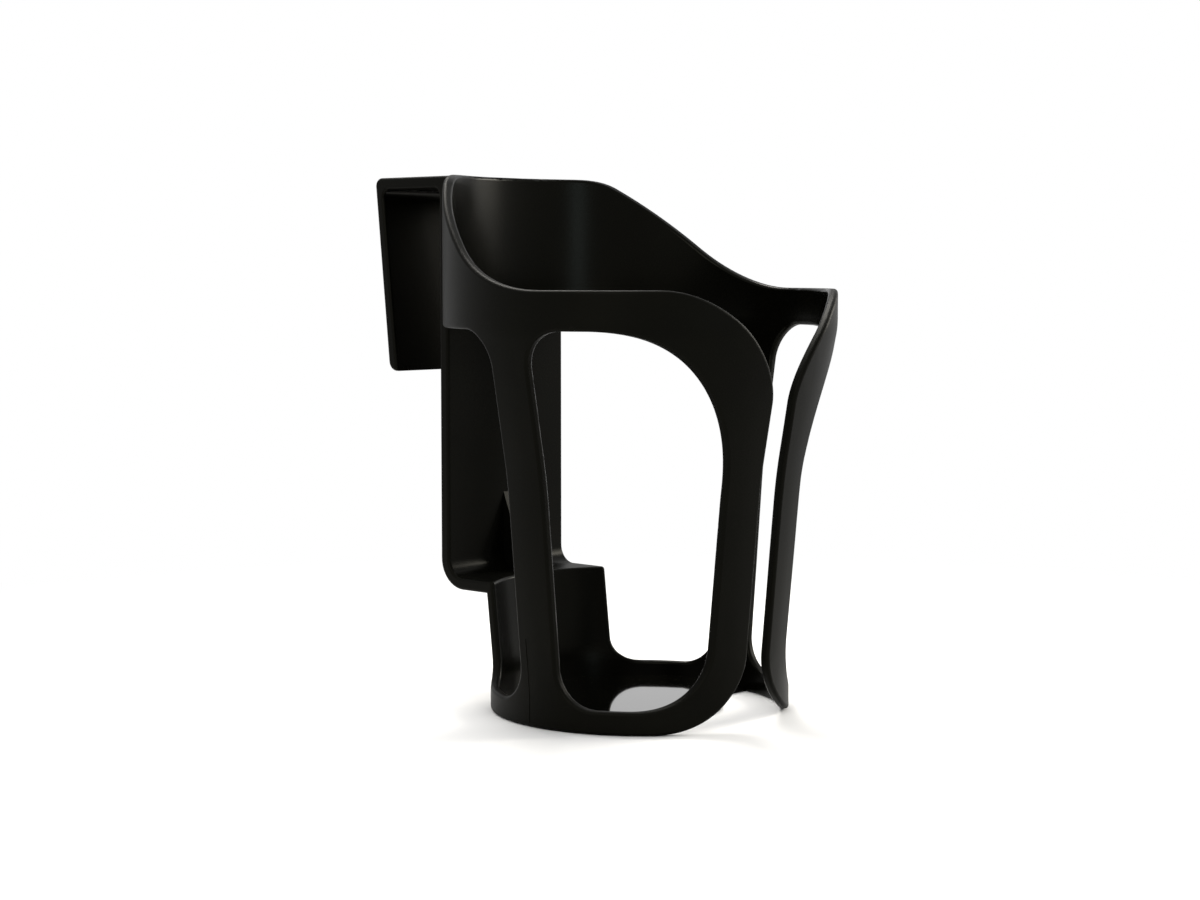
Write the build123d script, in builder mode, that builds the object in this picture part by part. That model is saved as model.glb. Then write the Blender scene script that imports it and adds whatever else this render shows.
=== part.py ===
from build123d import *
import math
import os

# Hook-on cup holder for a car, moulded in one piece of black plastic. Millimetres, +Z up.
# The cup's axis is Z, the slit in the front faces -Y and the hook is at the back, towards +Y.

# Cup wall: straight foot, slow taper, faster taper under the collar, straight collar
wall = 2.4
foot_radius = 36.4
foot_height = 8.0
waist_share = 0.43
waist_rise_share = 0.593
collar_radius = 47.6
collar_height = 93.0
foot_blend = 40.0
waist_blend = 120.0
collar_blend = 20.0

# Rim, low at the front and rising in an S to the hook
front_rim_rise = 9.2
hook_rise = 27.8
rim_slope = 41.0
rim_lower_round = 42.0
rim_upper_round = 9.0
rim_flat = 2.0

# Legs and the openings between them
leg_width = 10.0
side_leg_front = 6.2
side_leg_rear = 5.0
base_band = 5.5
slit_width = 7.4
slit_top_share = 0.64
slit_top_drop = 26.0
slit_bottom_flare = 21.0
slit_bottom_rise = 17.0
window_top_share = 0.826
window_top_drop = 36.0
window_bottom_round = 14.0
leg_round = 9.0
gap_foot_round = 6.0

# Back strap: ledge, upright plate and hook are one bent ribbon
strap_width = 41.4
strap_thickness = 3.0
strap_bite = 0.4
ledge_height = 30.0
bend_round = 4.5
slot_top = 20.8
slot_bottom = 15.8
hook_drop = 46.0
slot_round = 2.0
hook_top_round = 2.0
hook_tip_round = 2.6

# Gusset in the corner of the plate and the ledge
gusset_thickness = 2.4
gusset_height = 20.0
gusset_reach = 8.0

# Floor with a round tongue towards the slit
floor_thickness = 2.0
floor_front = 6.0
tongue_radius = 20.0
tongue_round = 5.0

# Rounded edges; faces that meet at less than the smooth angle count as one surface
edge_round = 0.8
floor_round = 0.6
smooth_angle = 25.0

# Places that follow from the sizes above
clear = 15.0
outside = collar_radius + clear
waist_height = foot_height + waist_rise_share * (collar_height - foot_height)
waist_radius = foot_radius + waist_share * (collar_radius - foot_radius)
front_rim_height = collar_height + front_rim_rise
total_height = front_rim_height + hook_rise
strap_front = collar_radius - wall + strap_bite
strap_back = strap_front + strap_thickness
slot_ceiling = total_height - strap_thickness
hook_end = slot_ceiling - hook_drop
half_slit = slit_width / 2
window_front = half_slit + leg_width
window_top_reach = window_top_share * (collar_radius - window_front)
slit_top_flare = slit_top_share * (collar_radius - half_slit)
half_strap = strap_width / 2
half_fill = half_strap - edge_round
fill_corner = math.sqrt(collar_radius**2 - half_fill**2)
rim_rise_end = fill_corner - rim_flat - rim_upper_round * math.tan(math.radians(rim_slope / 2))
rim_rise_start = rim_rise_end - hook_rise / math.tan(math.radians(rim_slope))
mid_wall = wall / 2
taper = (waist_radius - foot_radius) / (waist_height - foot_height)
ledge_root = foot_radius + taper * (ledge_height - foot_height) - mid_wall

# The window cutter: its front edge is shaped in the front view, its rear corners in the side view
with BuildPart() as window_cutter:
    with BuildSketch(Plane.XZ) as window_front_view:
        with BuildLine() as window_outline:
            top = Line((outside, collar_height), (window_front + window_top_reach, collar_height))
            shoulder = Bezier(
                top @ 1,
                (window_front + window_top_reach / 2, collar_height),
                (window_front, collar_height - window_top_drop / 2),
                (window_front, collar_height - window_top_drop),
            )
            side = Line(shoulder @ 1, (window_front, base_band + window_bottom_round))
            corner = TangentArc(side @ 1, (window_front + window_bottom_round, base_band), tangent=side % 1)
            bottom = Line(corner @ 1, (outside, base_band))
            Line(bottom @ 1, top @ 0)
        make_face()
        mirror(about=Plane.YZ)
    extrude(amount=outside)
    with BuildSketch(Plane.YZ) as window_side_view:
        with BuildLine():
            Polyline(
                (-side_leg_front, base_band),
                (-side_leg_front, collar_height),
                (-outside, collar_height),
                (-outside, base_band),
                close=True,
            )
        make_face()
        fillet(window_side_view.vertices().group_by(Axis.X)[-1], leg_round)
    extrude(amount=outside, both=True, mode=Mode.INTERSECT)

# The rear cutter leaves the low back wall standing between the two rear gaps
with BuildPart() as rear_cutter:
    with BuildSketch(Plane.XZ) as rear_front_view:
        with BuildLine():
            Polyline(
                (0, collar_height),
                (outside, collar_height),
                (outside, base_band),
                (half_strap, base_band),
                (half_strap, ledge_height),
                (0, ledge_height),
                close=True,
            )
        make_face()
        gap_corner = rear_front_view.vertices().group_by(Axis.Y)[0].sort_by(Axis.X)[0]
        fillet(gap_corner, gap_foot_round)
        mirror(about=Plane.YZ)
    extrude(amount=-outside)
    with BuildSketch(Plane.YZ) as rear_side_view:
        with BuildLine():
            Polyline(
                (side_leg_rear, base_band),
                (side_leg_rear, collar_height),
                (outside, collar_height),
                (outside, base_band),
                close=True,
            )
        make_face()
        fillet(rear_side_view.vertices().group_by(Axis.X)[0], leg_round)
    extrude(amount=outside, both=True, mode=Mode.INTERSECT)

# The bent ribbon at the back, drawn in the side view from the ledge up and over the hook
with BuildPart() as strap:
    with BuildSketch(Plane.YZ) as ribbon:
        with BuildLine():
            Polyline(
                (foot_radius - clear, ledge_height - strap_thickness),
                (strap_back, ledge_height - strap_thickness),
                (strap_back, slot_ceiling),
                (strap_back + slot_top, slot_ceiling),
                (strap_back + slot_bottom, hook_end),
                (strap_back + slot_bottom + strap_thickness, hook_end),
                (strap_back + slot_top + strap_thickness, total_height),
                (strap_front, total_height),
                (strap_front, ledge_height),
                (foot_radius - clear, ledge_height),
                close=True,
            )
        make_face()
        at_ceiling = ribbon.vertices().filter_by_position(Axis.Y, slot_ceiling - 0.1, slot_ceiling + 0.1)
        fillet(at_ceiling, slot_round)
        fillet(ribbon.vertices().group_by(Axis.X)[-1], hook_top_round)
        at_tip = ribbon.vertices().filter_by_position(Axis.Y, hook_end - 0.1, hook_end + 0.1)
        fillet(at_tip.sort_by(Axis.X)[-1], hook_tip_round)
        at_ledge = ribbon.vertices().filter_by_position(Axis.Y, ledge_height - 0.1, ledge_height + 0.1)
        fillet(at_ledge.sort_by(Axis.X)[-1], bend_round)
        fillet(ribbon.vertices().group_by(Axis.Y)[0].sort_by(Axis.X)[-1], bend_round + strap_thickness)
    extrude(amount=half_strap, both=True)
    fillet(strap.faces().filter_by(Axis.X).edges(), edge_round)
    # The ledge ends inside the low back wall
    with BuildSketch(Plane.XY.offset(ledge_height - 2 * strap_thickness)):
        Circle(ledge_root)
    extrude(amount=3 * strap_thickness, mode=Mode.SUBTRACT)

with BuildPart() as cup_wall:
    # Wall of revolution
    with BuildSketch(Plane.XZ) as wall_section:
        with BuildLine():
            Polyline(
                (foot_radius, 0),
                (foot_radius, foot_height),
                (waist_radius, waist_height),
                (collar_radius, collar_height),
                (collar_radius, total_height + clear),
                (collar_radius - wall, total_height + clear),
                (collar_radius - wall, collar_height),
                (waist_radius - wall, waist_height),
                (foot_radius - wall, foot_height),
                (foot_radius - wall, 0),
                close=True,
            )
        make_face()
        fillet(wall_section.vertices().filter_by_position(Axis.Y, foot_height, foot_height), foot_blend)
        fillet(wall_section.vertices().filter_by_position(Axis.Y, waist_height, waist_height), waist_blend)
        fillet(wall_section.vertices().filter_by_position(Axis.Y, collar_height, collar_height), collar_blend)
    revolve(axis=Axis.Z)

    # The wedge between the round collar and the flat plate behind it is solid
    with BuildSketch(Plane.XY.offset(collar_height)) as collar_fill:
        with Locations((0, strap_front)):
            Rectangle(2 * half_fill, collar_radius, align=(Align.CENTER, Align.MAX))
        Circle(collar_radius - mid_wall, mode=Mode.SUBTRACT)
        split(bisect_by=Plane.XZ, keep=Keep.BOTTOM)
    extrude(amount=total_height + clear - collar_height)

    # Rim, cut in the side view
    with BuildSketch(Plane.YZ) as above_rim:
        with BuildLine():
            Polyline(
                (-outside, front_rim_height),
                (rim_rise_start, front_rim_height),
                (rim_rise_end, total_height),
                (outside, total_height),
                (outside, total_height + 2 * clear),
                (-outside, total_height + 2 * clear),
                close=True,
            )
        make_face()
        fillet(above_rim.vertices().group_by(Axis.Y)[0].sort_by(Axis.X)[-1], rim_lower_round)
        at_top = above_rim.vertices().filter_by_position(Axis.Y, total_height - 0.1, total_height + 0.1)
        fillet(at_top.sort_by(Axis.X)[0], rim_upper_round)
    extrude(amount=outside, both=True, mode=Mode.SUBTRACT)

    # Slit that flares out at the rim and at the base, cut in the front view
    with BuildSketch(Plane.XZ) as slit_face:
        with BuildLine():
            flare_top = Bezier(
                (half_slit + slit_top_flare, front_rim_height),
                (half_slit + 0.6 * slit_top_flare, front_rim_height),
                (half_slit, front_rim_height - 0.6 * slit_top_drop),
                (half_slit, front_rim_height - slit_top_drop),
            )
            edge = Line(flare_top @ 1, (half_slit, slit_bottom_rise))
            flare_bottom = Bezier(
                edge @ 1,
                (half_slit, slit_bottom_rise / 2),
                (half_slit + slit_bottom_flare / 2, 0),
                (half_slit + slit_bottom_flare, 0),
            )
            Polyline(
                flare_bottom @ 1,
                (half_slit + slit_bottom_flare, -clear),
                (0, -clear),
                (0, front_rim_height + clear),
                (half_slit + slit_top_flare, front_rim_height + clear),
                flare_top @ 0,
            )
        make_face()
        mirror(about=Plane.YZ)
    extrude(amount=outside, mode=Mode.SUBTRACT)

    # Windows between the legs
    add(window_cutter.part, mode=Mode.SUBTRACT)
    add(rear_cutter.part, mode=Mode.SUBTRACT)

    # Every corner of the wall is rounded, the smooth seams between its tapers are not
    corners = ShapeList()
    for edge in cup_wall.edges():
        sides = [face for face in cup_wall.faces() if any(edge.is_same(other) for other in face.edges())]
        middle = edge @ 0.5
        if sides[0].normal_at(middle).get_angle(sides[-1].normal_at(middle)) > smooth_angle:
            corners.append(edge)
    fillet(corners, edge_round)

# Floor plate: full width at the back, a round tongue at the front
with BuildPart() as floor:
    with BuildSketch() as floor_plan:
        Circle(foot_radius - mid_wall)
        with Locations((0, -floor_front)):
            Rectangle(2 * outside, outside, align=(Align.CENTER, Align.MAX), mode=Mode.SUBTRACT)
        Circle(tongue_radius)
        tongue_roots = floor_plan.vertices().filter_by_position(Axis.X, -tongue_radius, tongue_radius)
        fillet(tongue_roots.group_by(Axis.Y)[0], tongue_round)
    extrude(amount=floor_thickness)
    free_edges = floor.edges().group_by(Axis.Z)[-1].filter_by_position(Axis.Y, -outside, tongue_round - floor_front)
    fillet(free_edges, floor_round)

with BuildPart() as cup_holder:
    add(cup_wall.part)
    add(strap.part)
    add(floor.part)

    # Gusset
    with BuildSketch(Plane.YZ) as gusset:
        with BuildLine():
            Polyline(
                (strap_front + strap_bite, ledge_height - strap_bite),
                (strap_front - gusset_reach, ledge_height - strap_bite),
                (strap_front - gusset_reach, ledge_height),
                (strap_front, ledge_height + gusset_height),
                (strap_front + strap_bite, ledge_height + gusset_height),
                close=True,
            )
        make_face()
    extrude(amount=gusset_thickness / 2, both=True)

cup_holder.part.label = "cup_holder"

os.makedirs("parts", exist_ok=True)
export_step(cup_holder.part, "parts/cup_holder.step")
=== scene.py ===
import logging
import math
from dataclasses import dataclass, field
from enum import Enum

import bpy
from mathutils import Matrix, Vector


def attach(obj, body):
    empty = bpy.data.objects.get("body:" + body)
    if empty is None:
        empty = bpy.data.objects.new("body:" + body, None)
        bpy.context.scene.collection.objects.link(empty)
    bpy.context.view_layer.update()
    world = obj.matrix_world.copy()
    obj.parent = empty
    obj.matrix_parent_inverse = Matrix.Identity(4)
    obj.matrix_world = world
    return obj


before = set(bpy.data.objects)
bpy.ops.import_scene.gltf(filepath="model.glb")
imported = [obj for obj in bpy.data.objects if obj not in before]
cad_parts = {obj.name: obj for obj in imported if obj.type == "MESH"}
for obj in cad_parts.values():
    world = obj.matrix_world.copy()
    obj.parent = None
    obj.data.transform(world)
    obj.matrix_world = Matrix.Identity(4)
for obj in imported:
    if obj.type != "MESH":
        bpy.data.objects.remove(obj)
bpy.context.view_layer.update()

LOG = logging.getLogger("cup_holder_scene")
MM = 0.001


class Side(Enum):
    """The two sides of the holder, as the sign of X."""

    LEFT = -1.0
    RIGHT = 1.0


class Sheen(Enum):
    """How a face of the moulding left the tool: etched outside or polished inside."""

    ETCHED = "etched"
    POLISHED = "polished"


def new_node(tree: bpy.types.NodeTree, kind: str, **settings: object) -> bpy.types.Node:
    """Adds a node and sets its plain properties.

    Args:
        tree: The node tree that gets the node.
        kind: Blender's type name of the node.
        settings: Properties of the node, by name.

    Returns:
        The new node.
    """
    node = tree.nodes.new(kind)
    for name, value in settings.items():
        setattr(node, name, value)
    return node


def math_node(
    tree: bpy.types.NodeTree,
    operation: str,
    first: bpy.types.NodeSocket | float,
    second: bpy.types.NodeSocket | float | None = None,
) -> bpy.types.NodeSocket:
    """Adds a math node, with a link or a number on each input.

    Args:
        tree: The node tree that gets the node.
        operation: The math operation's name.
        first: A socket to link or a number.
        second: A socket to link, a number or nothing.

    Returns:
        The node's value output.
    """
    node = new_node(tree, "ShaderNodeMath", operation=operation)
    for index, value in enumerate((first, second)):
        if isinstance(value, bpy.types.NodeSocket):
            tree.links.new(value, node.inputs[index])
        elif value is not None:
            node.inputs[index].default_value = float(value)
    return node.outputs["Value"]


def ramp_between(
    tree: bpy.types.NodeTree,
    value: bpy.types.NodeSocket,
    low: float,
    high: float,
) -> bpy.types.NodeSocket:
    """Adds a smooth step from 0 at low to 1 at high.

    Args:
        tree: The node tree that gets the node.
        value: The socket that is stepped.
        low: The value that gives 0.
        high: The value that gives 1.

    Returns:
        The stepped value.
    """
    node = new_node(tree, "ShaderNodeMapRange", interpolation_type="SMOOTHSTEP")
    tree.links.new(value, node.inputs["Value"])
    node.inputs["From Min"].default_value = low
    node.inputs["From Max"].default_value = high
    return node.outputs["Result"]


def seen_ray(tree: bpy.types.NodeTree) -> bpy.types.NodeSocket:
    """Gives 1 to the eye, in reflections and through clear pieces, and 0 to soft light.

    Args:
        tree: The node tree of a material or the world.

    Returns:
        The mask.
    """
    path = new_node(tree, "ShaderNodeLightPath")
    direct = math_node(tree, "MAXIMUM", path.outputs["Is Camera Ray"], path.outputs["Is Glossy Ray"])
    return math_node(tree, "MAXIMUM", direct, path.outputs["Is Transmission Ray"])


@dataclass(frozen=True)
class MouldGrain:
    """The fine etched grain of the tool, as a height and a tone over the surface."""

    name: str = "mould_grain"
    fine_detail: float = 2.0
    coarse_detail: float = 4.0

    def group(self) -> bpy.types.NodeTree:
        """Builds the shader group once, or finds it.

        Returns:
            The group, with Fine Scale and Coarse Scale in, Height and Tone out.
        """
        if self.name in bpy.data.node_groups:
            return bpy.data.node_groups[self.name]
        tree = bpy.data.node_groups.new(self.name, "ShaderNodeTree")
        tree.interface.new_socket("Fine Scale", in_out="INPUT", socket_type="NodeSocketFloat")
        tree.interface.new_socket("Coarse Scale", in_out="INPUT", socket_type="NodeSocketFloat")
        tree.interface.new_socket("Height", in_out="OUTPUT", socket_type="NodeSocketFloat")
        tree.interface.new_socket("Tone", in_out="OUTPUT", socket_type="NodeSocketFloat")
        enter = new_node(tree, "NodeGroupInput")
        leave = new_node(tree, "NodeGroupOutput")
        place = new_node(tree, "ShaderNodeTexCoord")
        fine = new_node(tree, "ShaderNodeTexNoise")
        coarse = new_node(tree, "ShaderNodeTexNoise")
        layers = ((fine, "Fine Scale", self.fine_detail), (coarse, "Coarse Scale", self.coarse_detail))
        for noise, scale, detail in layers:
            tree.links.new(place.outputs["Object"], noise.inputs["Vector"])
            tree.links.new(enter.outputs[scale], noise.inputs["Scale"])
            noise.inputs["Detail"].default_value = detail
        tree.links.new(fine.outputs["Fac"], leave.inputs["Height"])
        tree.links.new(coarse.outputs["Fac"], leave.inputs["Tone"])
        return tree


@dataclass(frozen=True)
class PolishMask:
    """Where the tool's core was polished: the cup's inside and the top of the floor."""

    name: str = "polish_mask"
    floor_top: float = 2.4 * MM
    floor_fade: float = 0.2 * MM
    inward_start: float = 8.0 * MM
    inward_full: float = 20.0 * MM
    level_start: float = 0.7
    level_full: float = 0.95

    def group(self) -> bpy.types.NodeTree:
        """Builds the shader group once, or finds it.

        Returns:
            The group, with Inside and Floor out.
        """
        if self.name in bpy.data.node_groups:
            return bpy.data.node_groups[self.name]
        tree = bpy.data.node_groups.new(self.name, "ShaderNodeTree")
        tree.interface.new_socket("Inside", in_out="OUTPUT", socket_type="NodeSocketFloat")
        tree.interface.new_socket("Floor", in_out="OUTPUT", socket_type="NodeSocketFloat")
        leave = new_node(tree, "NodeGroupOutput")
        place = new_node(tree, "ShaderNodeTexCoord")
        spot = new_node(tree, "ShaderNodeSeparateXYZ")
        facing = new_node(tree, "ShaderNodeSeparateXYZ")
        tree.links.new(place.outputs["Object"], spot.inputs["Vector"])
        tree.links.new(place.outputs["Normal"], facing.inputs["Vector"])
        along_x = math_node(tree, "MULTIPLY", spot.outputs["X"], facing.outputs["X"])
        along_y = math_node(tree, "MULTIPLY", spot.outputs["Y"], facing.outputs["Y"])
        outward = math_node(tree, "ADD", along_x, along_y)
        inward = math_node(tree, "MULTIPLY", outward, -1.0)
        inside = ramp_between(tree, inward, self.inward_start, self.inward_full)
        tree.links.new(inside, leave.inputs["Inside"])
        depth = math_node(tree, "MULTIPLY", spot.outputs["Z"], -1.0)
        low = ramp_between(tree, depth, -self.floor_top, self.floor_fade - self.floor_top)
        level = ramp_between(tree, facing.outputs["Z"], self.level_start, self.level_full)
        tree.links.new(math_node(tree, "MULTIPLY", low, level), leave.inputs["Floor"])
        return tree


@dataclass(frozen=True)
class BlackPlastic:
    """Black moulded plastic: satin and etched outside, polished inside and on the floor."""

    name: str = "black_plastic"
    dark: tuple[float, float, float] = (0.0008, 0.0008, 0.0005)
    light: tuple[float, float, float] = (0.0012, 0.0012, 0.0007)
    etched_rough: float = 0.46
    polished_rough: float = 0.24
    floor_rough: float = 0.07
    floor_coat: float = 0.8
    coat_rough: float = 0.03
    coat_ior: float = 1.5
    rough_spread: float = 0.06
    specular: float = 0.048
    gloss_tint: tuple[float, float, float] = (1.0, 0.98, 0.82)
    grain_fine: float = 2600.0
    grain_coarse: float = 90.0
    grain_depth: float = 0.05 * MM
    grain_strength: float = 0.35
    polish_share: float = 0.9
    tone_low: float = 0.3
    tone_high: float = 0.7
    grain: MouldGrain = field(default_factory=MouldGrain)
    polish: PolishMask = field(default_factory=PolishMask)

    def roughness(self, sheen: Sheen) -> float:
        """Gives the plain roughness of an etched or a polished face."""
        return self.etched_rough if sheen is Sheen.ETCHED else self.polished_rough

    def material(self) -> bpy.types.Material:
        """Builds the material, with its grain, tone and polish all over the surface.

        Returns:
            The finished material.
        """
        made = bpy.data.materials.new(self.name)
        made.use_nodes = True
        tree = made.node_tree
        shader = tree.nodes["Principled BSDF"]
        shader.inputs["Specular IOR Level"].default_value = self.specular
        shader.inputs["Specular Tint"].default_value = (*self.gloss_tint, 1.0)
        shader.inputs["Coat Roughness"].default_value = self.coat_rough
        shader.inputs["Coat IOR"].default_value = self.coat_ior
        grain = new_node(tree, "ShaderNodeGroup", node_tree=self.grain.group())
        grain.inputs["Fine Scale"].default_value = self.grain_fine
        grain.inputs["Coarse Scale"].default_value = self.grain_coarse
        polish = new_node(tree, "ShaderNodeGroup", node_tree=self.polish.group())

        tone = ramp_between(tree, grain.outputs["Tone"], self.tone_low, self.tone_high)
        colour = new_node(tree, "ShaderNodeMix", data_type="RGBA")
        colour.inputs["A"].default_value = (*self.dark, 1.0)
        colour.inputs["B"].default_value = (*self.light, 1.0)
        tree.links.new(tone, colour.inputs["Factor"])
        tree.links.new(colour.outputs["Result"], shader.inputs["Base Color"])

        swing = math_node(tree, "SUBTRACT", grain.outputs["Tone"], 0.5)
        spread = math_node(tree, "MULTIPLY", swing, self.rough_spread)
        etched = math_node(tree, "ADD", spread, self.roughness(Sheen.ETCHED))
        inside = new_node(tree, "ShaderNodeMix", data_type="FLOAT")
        tree.links.new(polish.outputs["Inside"], inside.inputs["Factor"])
        tree.links.new(etched, inside.inputs["A"])
        inside.inputs["B"].default_value = self.roughness(Sheen.POLISHED)
        bottom = new_node(tree, "ShaderNodeMix", data_type="FLOAT")
        tree.links.new(polish.outputs["Floor"], bottom.inputs["Factor"])
        tree.links.new(inside.outputs["Result"], bottom.inputs["A"])
        bottom.inputs["B"].default_value = self.floor_rough
        tree.links.new(bottom.outputs["Result"], shader.inputs["Roughness"])
        coat = math_node(tree, "MULTIPLY", polish.outputs["Floor"], self.floor_coat)
        tree.links.new(coat, shader.inputs["Coat Weight"])

        bump = new_node(tree, "ShaderNodeBump")
        bump.inputs["Distance"].default_value = self.grain_depth
        smooth = math_node(tree, "MAXIMUM", polish.outputs["Inside"], polish.outputs["Floor"])
        polished = math_node(tree, "MULTIPLY", smooth, self.polish_share)
        rough_part = math_node(tree, "SUBTRACT", 1.0, polished)
        height = math_node(tree, "MULTIPLY", grain.outputs["Height"], rough_part)
        bump.inputs["Strength"].default_value = self.grain_strength
        tree.links.new(height, bump.inputs["Height"])
        tree.links.new(bump.outputs["Normal"], shader.inputs["Normal"])
        return made


@dataclass
class Moulding:
    """The holder itself, the one moulded piece."""

    node: str = "cup_holder"
    finish: BlackPlastic = field(default_factory=BlackPlastic)

    def dress(self) -> bpy.types.Material:
        """Puts the finish in the moulding's material slots.

        Returns:
            The material, for the pieces that share it.
        """
        material = self.finish.material()
        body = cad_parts[self.node]
        if not body.material_slots:
            body.data.materials.append(material)
        for slot in body.material_slots:
            slot.material = material
        LOG.info("%s dressed in %s", self.node, material.name)
        return material


@dataclass
class PartingLine:
    """The fine raised line that the tool's halves leave on the outside of a side leg."""

    side: Side
    wall_node: str = "cup_holder"
    offset: float = 2.2 * MM
    bottom: float = 1.0 * MM
    top: float = 21.0 * MM
    reach: float = 60.0 * MM
    ridge: float = 0.11 * MM
    ridge_sides: int = 8
    steps: int = 48

    def tree(self) -> bpy.types.NodeTree:
        """Builds the tree that drops an upright line on the wall and sweeps a small round along it.

        Returns:
            The geometry tree, with its sizes as named inputs.
        """
        name = "parting_line_tree"
        if name in bpy.data.node_groups:
            return bpy.data.node_groups[name]
        tree = bpy.data.node_groups.new(name, "GeometryNodeTree")
        for label, kind in (
            ("Wall", "NodeSocketObject"),
            ("Start", "NodeSocketVector"),
            ("End", "NodeSocketVector"),
            ("Inward", "NodeSocketVector"),
            ("Ridge", "NodeSocketFloat"),
            ("Steps", "NodeSocketInt"),
            ("Finish", "NodeSocketMaterial"),
        ):
            tree.interface.new_socket(label, in_out="INPUT", socket_type=kind)
        tree.interface.new_socket("Geometry", in_out="OUTPUT", socket_type="NodeSocketGeometry")
        enter = new_node(tree, "NodeGroupInput")
        leave = new_node(tree, "NodeGroupOutput")
        line = new_node(tree, "GeometryNodeCurvePrimitiveLine")
        steps = new_node(tree, "GeometryNodeResampleCurve")
        wall = new_node(tree, "GeometryNodeObjectInfo", transform_space="ORIGINAL")
        ray = new_node(tree, "GeometryNodeRaycast", data_type="FLOAT")
        drop = new_node(tree, "GeometryNodeSetPosition")
        round_section = new_node(tree, "GeometryNodeCurvePrimitiveCircle")
        round_section.inputs["Resolution"].default_value = self.ridge_sides
        sweep = new_node(tree, "GeometryNodeCurveToMesh")
        sweep.inputs["Fill Caps"].default_value = True
        real = new_node(tree, "GeometryNodeRealizeInstances")
        finish = new_node(tree, "GeometryNodeSetMaterial")
        link = tree.links.new
        link(enter.outputs["Start"], line.inputs["Start"])
        link(enter.outputs["End"], line.inputs["End"])
        link(line.outputs["Curve"], steps.inputs["Curve"])
        link(enter.outputs["Steps"], steps.inputs["Count"])
        link(enter.outputs["Wall"], wall.inputs["Object"])
        link(wall.outputs["Geometry"], ray.inputs["Target Geometry"])
        link(enter.outputs["Inward"], ray.inputs["Ray Direction"])
        ray.inputs["Ray Length"].default_value = self.reach
        link(steps.outputs["Curve"], drop.inputs["Geometry"])
        link(ray.outputs["Is Hit"], drop.inputs["Selection"])
        link(ray.outputs["Hit Position"], drop.inputs["Position"])
        link(drop.outputs["Geometry"], sweep.inputs["Curve"])
        link(enter.outputs["Ridge"], round_section.inputs["Radius"])
        link(round_section.outputs["Curve"], sweep.inputs["Profile Curve"])
        link(sweep.outputs["Mesh"], real.inputs["Geometry"])
        link(real.outputs["Geometry"], finish.inputs["Geometry"])
        link(enter.outputs["Finish"], finish.inputs["Material"])
        link(finish.outputs["Geometry"], leave.inputs["Geometry"])
        return tree

    def build(self, material: bpy.types.Material) -> bpy.types.Object:
        """Makes the ridge as a plain mesh that rides on the moulding.

        Args:
            material: The plastic of the moulding.

        Returns:
            The ridge's object.
        """
        name = f"parting_line_{self.side.name.lower()}"
        piece = bpy.data.objects.new(name, bpy.data.meshes.new(name))
        bpy.context.scene.collection.objects.link(piece)
        tree = self.tree()
        modifier = piece.modifiers.new("sweep", "NODES")
        modifier.node_group = tree
        start = self.side.value * self.reach
        values = {
            "Wall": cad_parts[self.wall_node],
            "Start": (start, self.offset, self.bottom),
            "End": (start, self.offset, self.top),
            "Inward": (-self.side.value, 0.0, 0.0),
            "Ridge": self.ridge,
            "Steps": self.steps,
            "Finish": material,
        }
        for socket in tree.interface.items_tree:
            if socket.in_out == "INPUT":
                modifier[socket.identifier] = values[socket.name]
        view = bpy.context.evaluated_depsgraph_get()
        swept = bpy.data.meshes.new_from_object(piece.evaluated_get(view))
        piece.modifiers.remove(modifier)
        piece.data = swept
        swept.shade_smooth()
        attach(piece, "root")
        LOG.info("%s built, %d faces", name, len(swept.polygons))
        return piece


@dataclass
class Lamp:
    """One soft box: a flat lamp that looks at the middle of the holder."""

    name: str
    place: tuple[float, float, float]
    width: float
    height: float
    watts: float
    colour: tuple[float, float, float] = (1.0, 1.0, 1.0)

    def build(self, target: Vector) -> bpy.types.Object:
        """Hangs the lamp and turns it to the target.

        Args:
            target: The point that the lamp looks at.

        Returns:
            The lamp's object.
        """
        data = bpy.data.lights.new(self.name, "AREA")
        data.shape = "RECTANGLE"
        data.size = self.width
        data.size_y = self.height
        data.energy = self.watts
        data.color = self.colour
        lamp = bpy.data.objects.new(self.name, data)
        lamp.location = self.place
        lamp.rotation_mode = "QUATERNION"
        lamp.rotation_quaternion = (target - Vector(self.place)).to_track_quat("-Z", "Y")
        bpy.context.scene.collection.objects.link(lamp)
        return lamp


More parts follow.
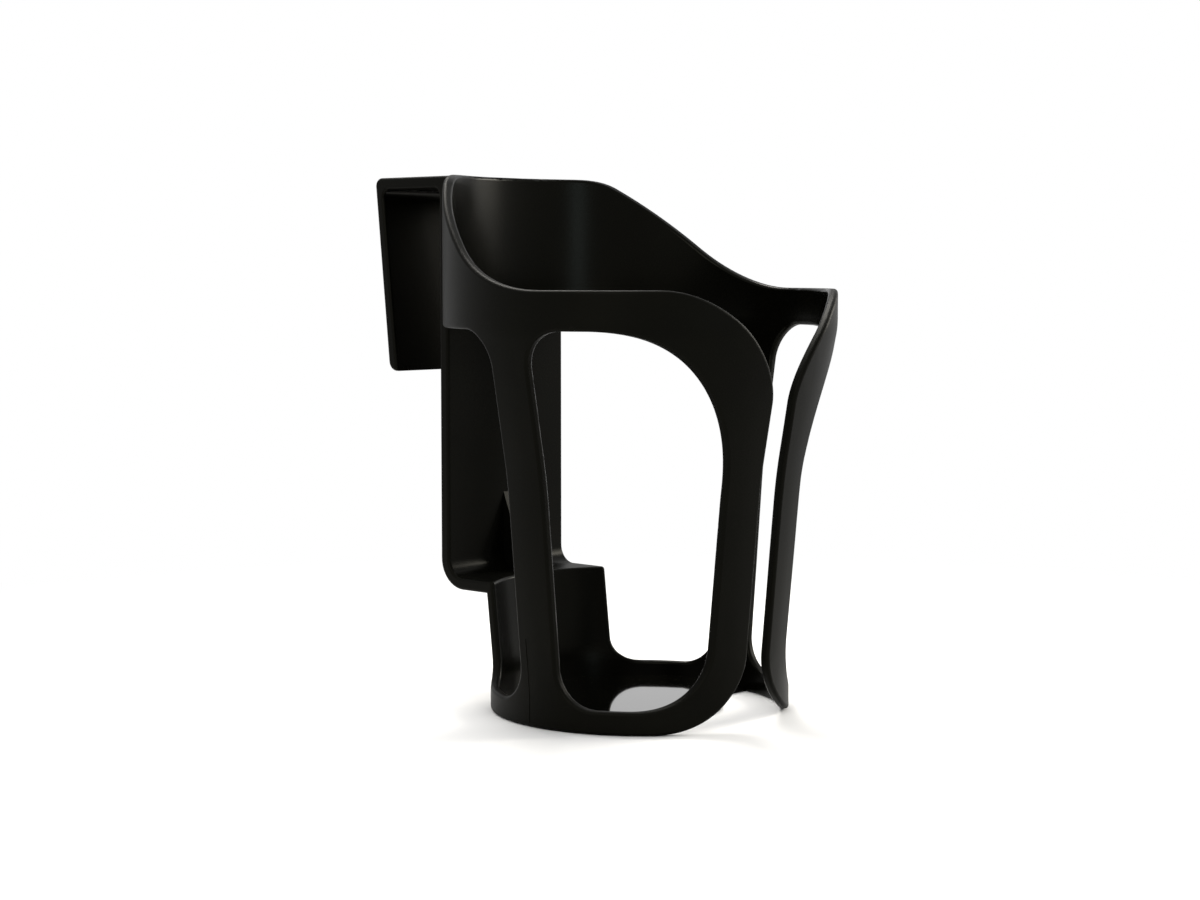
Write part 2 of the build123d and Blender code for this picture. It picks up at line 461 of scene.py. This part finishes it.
@dataclass
class Studio:
    """White table, soft light and the camera at the photo's angle."""

    middle: Vector = field(default_factory=lambda: Vector((0.0, 0.012, 0.062)))
    floor_half: float = 3.0
    floor_drop: float = 0.05 * MM
    paper_white: float = 0.9
    fade_start: float = 0.09
    fade_end: float = 0.30
    room_light: float = 0.55
    camera_turn: float = 48.376
    camera_distance: float = 555.155 * MM
    camera_height: float = 107.12 * MM
    camera_yaw: float = 0.998
    camera_pitch: float = 4.535
    lens: float = 68.767
    sensor: float = 36.0
    nearest: float = 0.01
    lamps: tuple[Lamp, ...] = (
        Lamp("front_box", (-0.11, -0.89, 0.14), 0.14, 0.06, 0.35, (0.70, 0.87, 1.0)),
        Lamp("left_box", (-0.78, -0.30, 0.50), 0.40, 0.40, 2.0, (1.0, 0.98, 0.92)),
        Lamp("right_box", (0.85, -0.35, 0.40), 0.40, 0.40, 9.0, (1.0, 0.96, 0.88)),
        Lamp("back_box", (0.30, 0.62, 1.05), 0.45, 0.45, 12.0, (1.0, 0.97, 0.92)),
        Lamp("top_box", (0.10, 0.30, 1.60), 1.20, 1.20, 6.0),
    )

    def white_table(self) -> bpy.types.Object:
        """Lays the white floor, which fades into plain white away from the holder.

        Returns:
            The floor's object.
        """
        half = self.floor_half
        mesh = bpy.data.meshes.new("table_top")
        corners = [(-half, -half, 0.0), (half, -half, 0.0), (half, half, 0.0), (-half, half, 0.0)]
        mesh.from_pydata(corners, [], [(0, 1, 2, 3)])
        table = bpy.data.objects.new("table_top", mesh)
        table.location = (0.0, 0.0, -self.floor_drop)
        bpy.context.scene.collection.objects.link(table)
        paper = bpy.data.materials.new("white_paper")
        paper.use_nodes = True
        tree = paper.node_tree
        tree.nodes.clear()
        out = new_node(tree, "ShaderNodeOutputMaterial")
        matte = new_node(tree, "ShaderNodeBsdfDiffuse")
        matte.inputs["Color"].default_value = (*[self.paper_white] * 3, 1.0)
        glow = new_node(tree, "ShaderNodeEmission")
        mix = new_node(tree, "ShaderNodeMixShader")
        place = new_node(tree, "ShaderNodeTexCoord")
        length = new_node(tree, "ShaderNodeVectorMath", operation="LENGTH")
        tree.links.new(place.outputs["Object"], length.inputs[0])
        far = ramp_between(tree, length.outputs["Value"], self.fade_start, self.fade_end)
        tree.links.new(math_node(tree, "MULTIPLY", far, seen_ray(tree)), mix.inputs["Fac"])
        tree.links.new(matte.outputs["BSDF"], mix.inputs[1])
        tree.links.new(glow.outputs["Emission"], mix.inputs[2])
        tree.links.new(mix.outputs["Shader"], out.inputs["Surface"])
        mesh.materials.append(paper)
        return table

    def room(self) -> bpy.types.World:
        """Makes the room: plain white to the eye and in reflections, soft light elsewhere.

        Returns:
            The world.
        """
        world = bpy.data.worlds.new("white_room")
        world.use_nodes = True
        tree = world.node_tree
        back = tree.nodes["Background"]
        back.inputs["Color"].default_value = (1.0, 1.0, 1.0, 1.0)
        level = new_node(tree, "ShaderNodeMix", data_type="FLOAT")
        tree.links.new(seen_ray(tree), level.inputs["Factor"])
        level.inputs["A"].default_value = self.room_light
        level.inputs["B"].default_value = 1.0
        tree.links.new(level.outputs["Result"], back.inputs["Strength"])
        bpy.context.scene.world = world
        return world

    def camera(self) -> bpy.types.Object:
        """Sets the camera where the photo was taken from.

        Returns:
            The camera's object.
        """
        turn = math.radians(self.camera_turn)
        ahead = Vector((math.sin(turn), math.cos(turn), 0.0))
        right = Vector((math.cos(turn), -math.sin(turn), 0.0))
        yaw = math.radians(self.camera_yaw)
        pitch = math.radians(self.camera_pitch)
        level = ahead * math.cos(yaw) - right * math.sin(yaw)
        aim = level * math.cos(pitch) - Vector((0.0, 0.0, math.sin(pitch)))
        data = bpy.data.cameras.new("photo_camera")
        data.sensor_width = self.sensor
        data.lens = self.lens
        data.clip_start = self.nearest
        camera = bpy.data.objects.new("photo_camera", data)
        camera.location = -ahead * self.camera_distance + Vector((0.0, 0.0, self.camera_height))
        camera.rotation_mode = "QUATERNION"
        camera.rotation_quaternion = aim.to_track_quat("-Z", "Y")
        bpy.context.scene.collection.objects.link(camera)
        bpy.context.scene.camera = camera
        return camera

    def build(self) -> None:
        """Sets up the table, room, lamps, camera and view transform."""
        self.white_table()
        self.room()
        for lamp in self.lamps:
            lamp.build(self.middle)
        self.camera()
        bpy.context.scene.view_settings.view_transform = "Standard"
        LOG.info("studio built with %d lamps", len(self.lamps))


def main() -> None:
    """Builds the holder's finish, its parting lines and the studio, in that order."""
    logging.basicConfig(level=logging.INFO, format="%(name)s: %(message)s")
    plastic = Moulding().dress()
    for side in Side:
        PartingLine(side).build(plastic)
    Studio().build()


if __name__ == "__main__":
    main()
